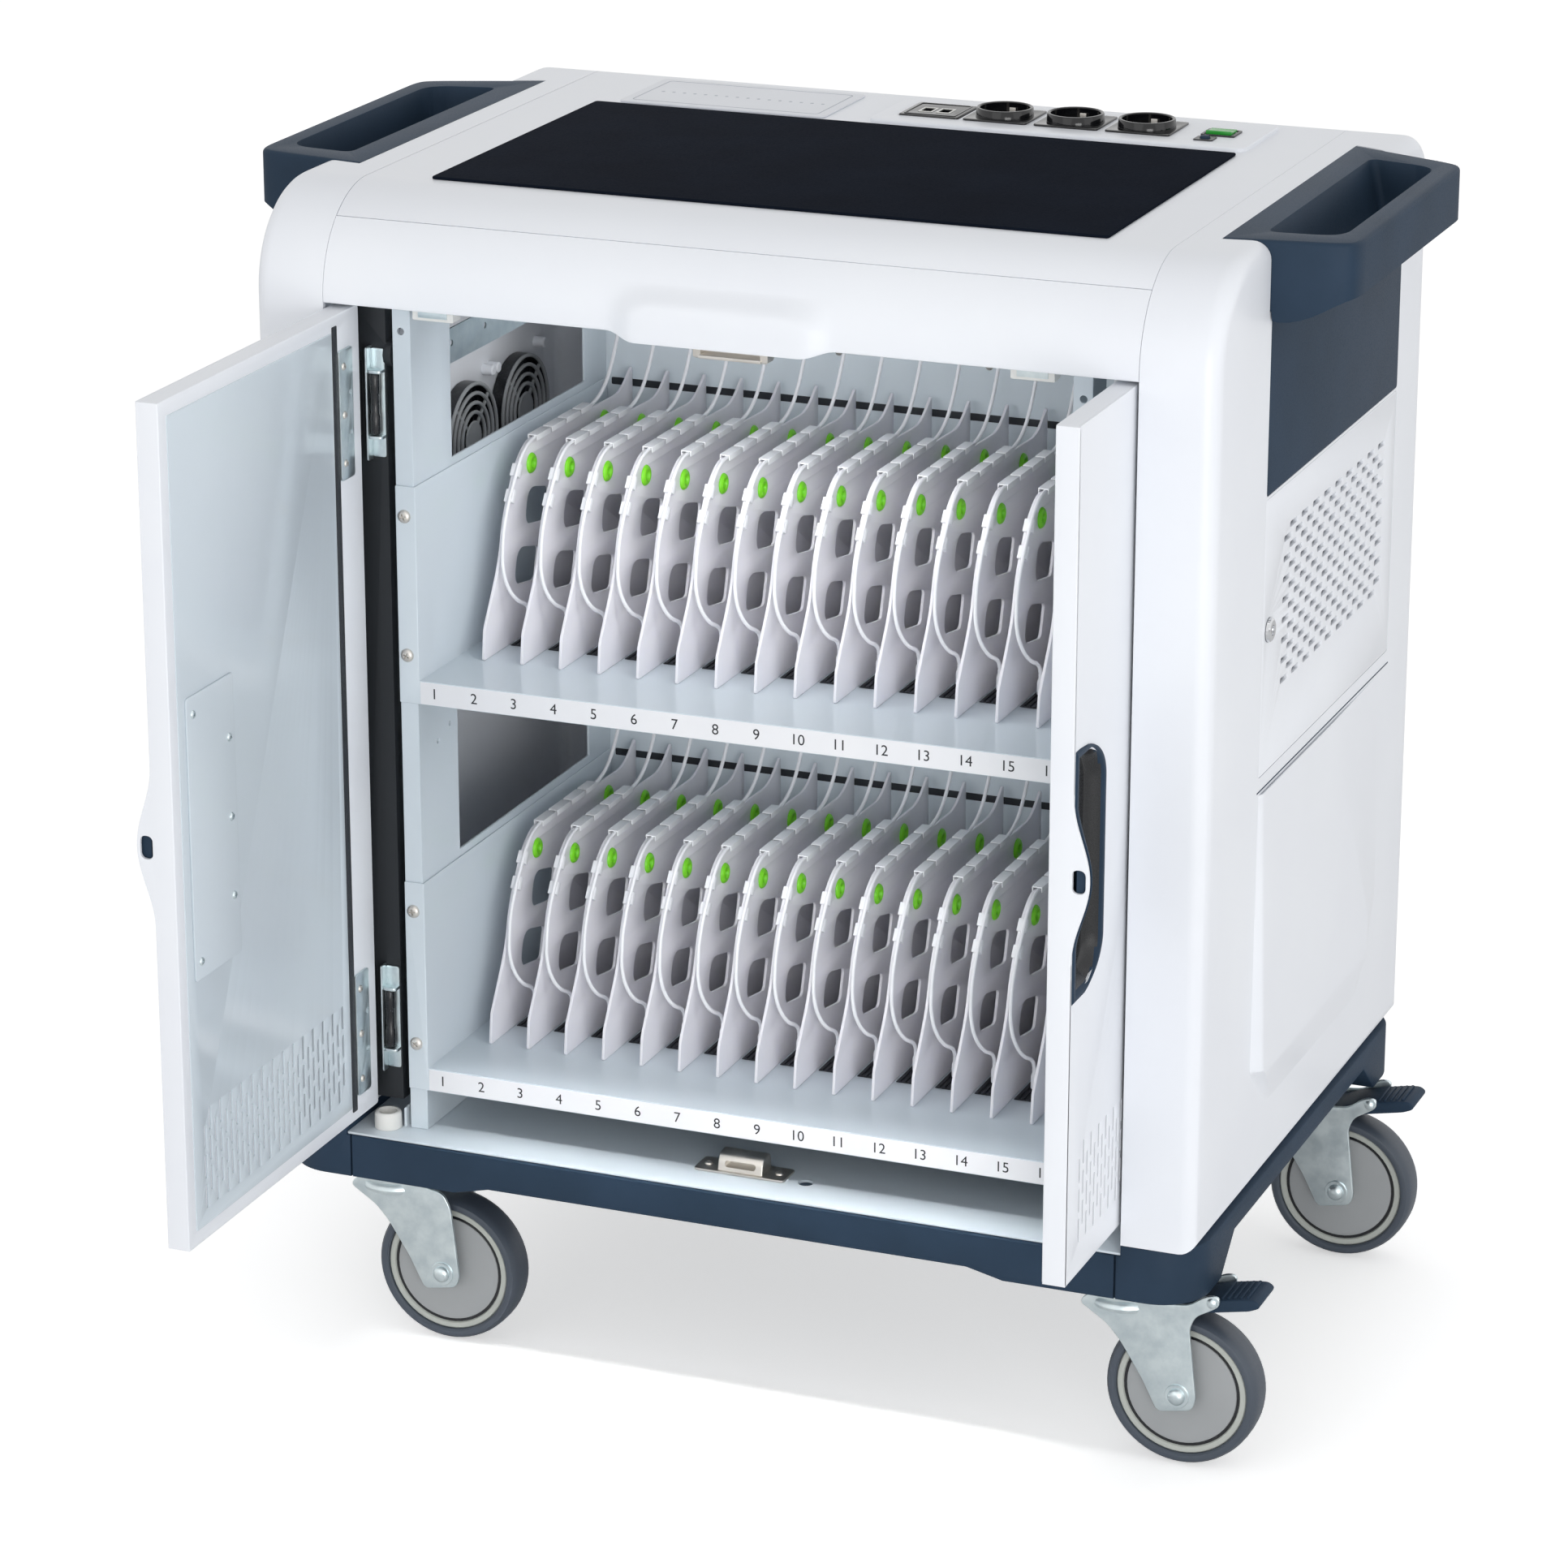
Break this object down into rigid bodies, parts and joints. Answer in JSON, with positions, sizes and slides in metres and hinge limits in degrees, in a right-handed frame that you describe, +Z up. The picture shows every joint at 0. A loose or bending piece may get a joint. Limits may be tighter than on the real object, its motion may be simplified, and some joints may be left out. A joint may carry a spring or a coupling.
{
  "type": "tablet charging cart",
  "caption": "White wheeled charging cart with pocket doors, two divided shelves with charging leads, push handles and a work top with sockets.",
  "frame": {"origin": "centre of the overall box on the floor, with the left door open", "axes": "+Z up, +X to the right and +Y to the back as seen from the doors"},
  "size_m": [0.896, 0.861, 0.9628],
  "materials": {
    "white_shell": "satin moulded",
    "grey_sheet": "satin powder coat",
    "dark_plastic": "fine moulded texture",
    "black_mat": "matt",
    "black_plastic": "gloss",
    "pale_panel": "satin film",
    "divider_plastic": "satin moulded",
    "lead_plastic": "soft",
    "green_plastic": "gloss",
    "zinc": "bright zinc plate",
    "tyre_rubber": "matt",
    "hub_plastic": "satin moulded"
  },
  "bodies": {
    "root": {"base_skirt": "dark_plastic", "floor_pan": "grey_sheet", "left_side_panel": "white_shell", "right_side_panel": "white_shell", "back_panel": "white_shell", "top_cover": "white_shell", "front_fascia": "white_shell", "left_inner_frame": "grey_sheet", "right_inner_frame": "grey_sheet", "rear_cable_wall": "grey_sheet", "upper_shelf": "grey_sheet", "lower_shelf": "grey_sheet", "upper_divider_rack": "divider_plastic", "lower_divider_rack": "divider_plastic", "upper_charging_leads": "lead_plastic", "lower_charging_leads": "lead_plastic", "writing_mat": "black_mat", "display_panel": "pale_panel", "socket_island": "white_shell", "socket_block": "black_plastic", "usb_insert": "black_plastic", "left_handle": "dark_plastic", "right_handle": "dark_plastic", "fan_panel": "black_plastic", "power_supply": "dark_plastic", "top_strike": "zinc", "bottom_strike": "zinc", "left_rail": "zinc", "right_rail": "zinc", "front_left_caster_mount": "zinc", "rear_left_caster_mount": "zinc", "front_right_caster_mount": "zinc", "rear_right_caster_mount": "zinc"},
    "left_carriage": {"left_carriage": "zinc"},
    "left_door": {"left_door": "white_shell", "left_handle_cup": "dark_plastic", "left_lock_cover": "grey_sheet"},
    "right_door": {"right_door": "white_shell", "right_handle_cup": "dark_plastic", "right_lock_cover": "grey_sheet", "right_carriage": "zinc"},
    "vent_panel": {"right_vent_panel": "white_shell"},
    "vent_lock": {"vent_lock": "zinc"},
    "rocker_switch": {"rocker_switch": "green_plastic"},
    "reset_button": {"reset_button": "black_plastic"},
    "front_left_fork": {"front_left_caster_fork": "zinc"},
    "front_left_wheel": {"front_left_caster_hub": "hub_plastic", "front_left_caster_tyre": "tyre_rubber"},
    "rear_left_fork": {"rear_left_caster_fork": "zinc"},
    "rear_left_wheel": {"rear_left_caster_hub": "hub_plastic", "rear_left_caster_tyre": "tyre_rubber"},
    "front_right_fork": {"front_right_caster_fork": "zinc"},
    "front_right_wheel": {"front_right_caster_hub": "hub_plastic", "front_right_caster_tyre": "tyre_rubber"},
    "front_right_brake": {"front_right_caster_brake": "dark_plastic"},
    "rear_right_fork": {"rear_right_caster_fork": "zinc"},
    "rear_right_wheel": {"rear_right_caster_hub": "hub_plastic", "rear_right_caster_tyre": "tyre_rubber"},
    "rear_right_brake": {"rear_right_caster_brake": "dark_plastic"}
  },
  "joints": [
    {"name": "left_door_slide", "type": "slide", "parent": "root", "child": "left_carriage", "axis": [0, 1, 0], "range_m": [0, 0.258]},
    {"name": "left_door_hinge", "type": "hinge", "parent": "left_carriage", "child": "left_door", "pos_m": [-0.3145, -0.1175, 0.54], "axis": [0, 0, -1], "range_deg": [-90, 0]},
    {"name": "right_door_slide", "type": "slide", "parent": "root", "child": "right_door", "axis": [0, 1, 0], "range_m": [-0.182, 0.076]},
    {"name": "vent_panel_hinge", "type": "hinge", "parent": "root", "child": "vent_panel", "pos_m": [0.3865, 0.354, 0.646], "axis": [0, 0, 1], "range_deg": [0, 95]},
    {"name": "vent_lock_turn", "type": "hinge", "parent": "vent_panel", "child": "vent_lock", "pos_m": [0.386, 0.0165, 0.651], "axis": [1, 0, 0], "range_deg": [0, 90]},
    {"name": "rocker_tilt", "type": "hinge", "parent": "root", "child": "rocker_switch", "pos_m": [0.242, 0.3295, 0.951], "axis": [1, 0, 0], "range_deg": [-8, 8]},
    {"name": "reset_press", "type": "slide", "parent": "root", "child": "reset_button", "axis": [0, 0, 1], "range_m": [-0.002, 0], "stiffness_N_per_m": 400, "springref_m": 0.001},
    {"name": "front_left_swivel", "type": "hinge", "parent": "root", "child": "front_left_fork", "pos_m": [-0.312, -0.0645, 0.13], "axis": [0, 0, 1], "continuous": true},
    {"name": "front_left_spin", "type": "hinge", "parent": "front_left_fork", "child": "front_left_wheel", "pos_m": [-0.262, -0.0645, 0.0617], "axis": [0, 1, 0], "continuous": true},
    {"name": "rear_left_swivel", "type": "hinge", "parent": "root", "child": "rear_left_fork", "pos_m": [-0.312, 0.3685, 0.13], "axis": [0, 0, 1], "continuous": true},
    {"name": "rear_left_spin", "type": "hinge", "parent": "rear_left_fork", "child": "rear_left_wheel", "pos_m": [-0.262, 0.3685, 0.0617], "axis": [0, 1, 0], "continuous": true},
    {"name": "front_right_swivel", "type": "hinge", "parent": "root", "child": "front_right_fork", "pos_m": [0.312, -0.0645, 0.13], "axis": [0, 0, 1], "continuous": true},
    {"name": "front_right_spin", "type": "hinge", "parent": "front_right_fork", "child": "front_right_wheel", "pos_m": [0.362, -0.0645, 0.0617], "axis": [0, 1, 0], "continuous": true},
    {"name": "front_right_brake_press", "type": "hinge", "parent": "front_right_fork", "child": "front_right_brake", "pos_m": [0.354, -0.0645, 0.1309], "axis": [0, 1, 0], "range_deg": [0, 10]},
    {"name": "rear_right_swivel", "type": "hinge", "parent": "root", "child": "rear_right_fork", "pos_m": [0.312, 0.3685, 0.13], "axis": [0, 0, 1], "continuous": true},
    {"name": "rear_right_spin", "type": "hinge", "parent": "rear_right_fork", "child": "rear_right_wheel", "pos_m": [0.362, 0.3685, 0.0617], "axis": [0, 1, 0], "continuous": true},
    {"name": "rear_right_brake_press", "type": "hinge", "parent": "rear_right_fork", "child": "rear_right_brake", "pos_m": [0.354, 0.3685, 0.1309], "axis": [0, 1, 0], "range_deg": [0, 10]}
  ]
}
